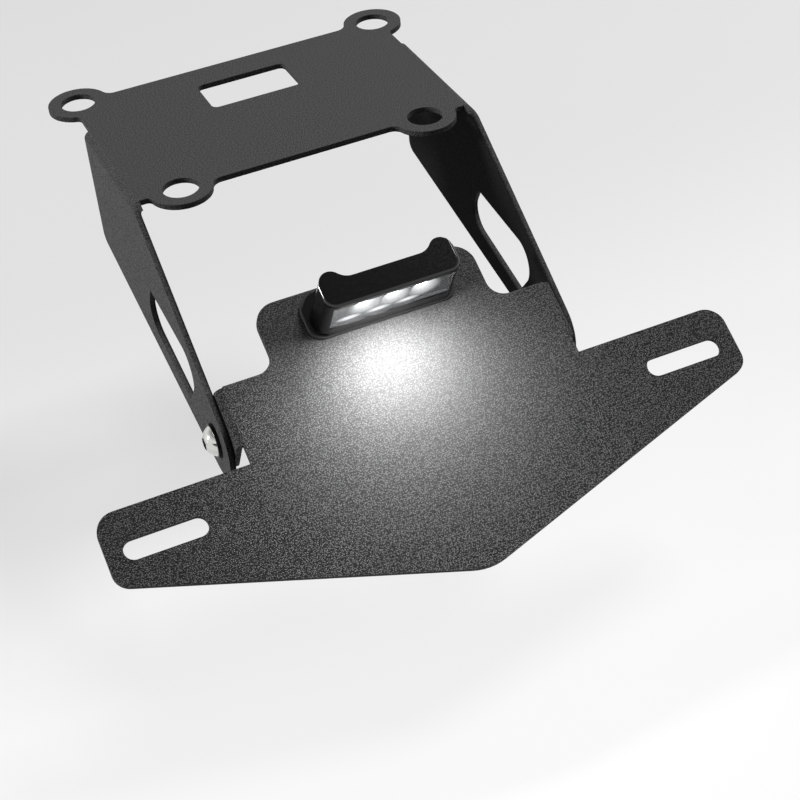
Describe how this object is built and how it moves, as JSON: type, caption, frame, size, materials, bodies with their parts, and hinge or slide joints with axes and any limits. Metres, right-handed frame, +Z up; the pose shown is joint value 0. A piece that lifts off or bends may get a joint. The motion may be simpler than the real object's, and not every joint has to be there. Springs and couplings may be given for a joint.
{
  "type": "tail tidy",
  "caption": "Motorcycle tail tidy: a folded sheet bracket with bolt ears and two side arms, a tilting number-plate holder between them, and a plate lamp.",
  "frame": {"origin": "midway between the two rear bolt holes, on the upper face of the bracket", "axes": "+X to the machine's right, +Y forwards, +Z up out of the bracket's upper face"},
  "size_m": [0.2256, 0.2237, 0.086],
  "materials": {
    "powder_coat": "fine matt black powder coat",
    "textured_coat": "coarse textured black powder coat",
    "stainless": "polished stainless steel",
    "black_zinc": "black zinc plated steel",
    "nylon": "natural nylon",
    "rubber": "matt black rubber",
    "gloss_housing": "glossy moulded black plastic",
    "lens": "clear moulded lens",
    "reflector": "bright metallised plastic",
    "board": "white solder mask",
    "led": "white light chip"
  },
  "bodies": {
    "bracket": {"upper_bracket": "powder_coat", "tilt_screw_left": "stainless", "tilt_screw_right": "stainless", "outer_washer_left": "black_zinc", "outer_washer_right": "black_zinc", "inner_washer_left": "stainless", "inner_washer_right": "stainless", "lock_nut_left": "stainless", "lock_nut_right": "stainless", "nut_ring_left": "nylon", "nut_ring_right": "nylon"},
    "plate": {"plate_holder": "textured_coat", "lamp_gasket": "rubber", "lamp_base": "gloss_housing", "lamp_housing": "gloss_housing", "lamp_lens": "lens", "lamp_reflector": "reflector", "lamp_board": "board", "led_left": "led", "led_middle": "led", "led_right": "led", "lamp_screw_left": "stainless", "lamp_screw_right": "stainless", "lamp_washer_left": "stainless", "lamp_washer_right": "stainless", "cable_grommet": "rubber"}
  },
  "joints": [
    {"name": "plate_tilt", "type": "hinge", "parent": "bracket", "child": "plate", "pos_m": [0, -0.0615, -0.0589], "axis": [1, 0, 0], "range_deg": [-30, 60]}
  ]
}
